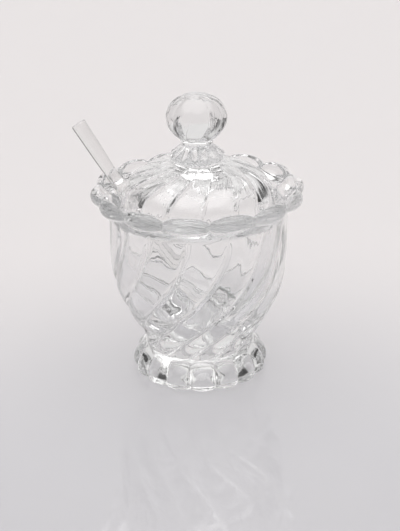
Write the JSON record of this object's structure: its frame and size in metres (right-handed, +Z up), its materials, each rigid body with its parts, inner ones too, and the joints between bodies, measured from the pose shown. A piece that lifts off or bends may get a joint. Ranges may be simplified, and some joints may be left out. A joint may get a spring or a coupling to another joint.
{
  "type": "lidded condiment pot with spoon",
  "caption": "Clear moulded-glass condiment pot with swirl ribs, scalloped rim and foot, a notched lift-off domed lid with a ball knob, and a glass rod spoon.",
  "frame": {"origin": "middle of the foot, at the level of the surface that it stands on", "axes": "+Z up along the axis of the pot and the lid, -Y to the front, +X to the right; the spoon leans towards -X"},
  "size_m": [0.0919, 0.0844, 0.1164],
  "materials": {
    "pot_glass": "clear moulded glass, fire polished",
    "lid_glass": "clear moulded glass, fire polished",
    "spoon_glass": "clear drawn glass rod, fire polished"
  },
  "bodies": {
    "pot": {"pot": "pot_glass"},
    "lid": {"lid": "lid_glass"},
    "spoon": {"spoon": "spoon_glass"}
  },
  "joints": [
    {"name": "lid_lift", "type": "slide", "parent": "pot", "child": "lid", "axis": [0, 0, 1], "range_m": [0, 0.06]},
    {"name": "spoon_draw", "type": "slide", "parent": "pot", "child": "spoon", "axis": [-0.5249, 0.1357, 0.8403], "range_m": [0, 0.04]}
  ]
}
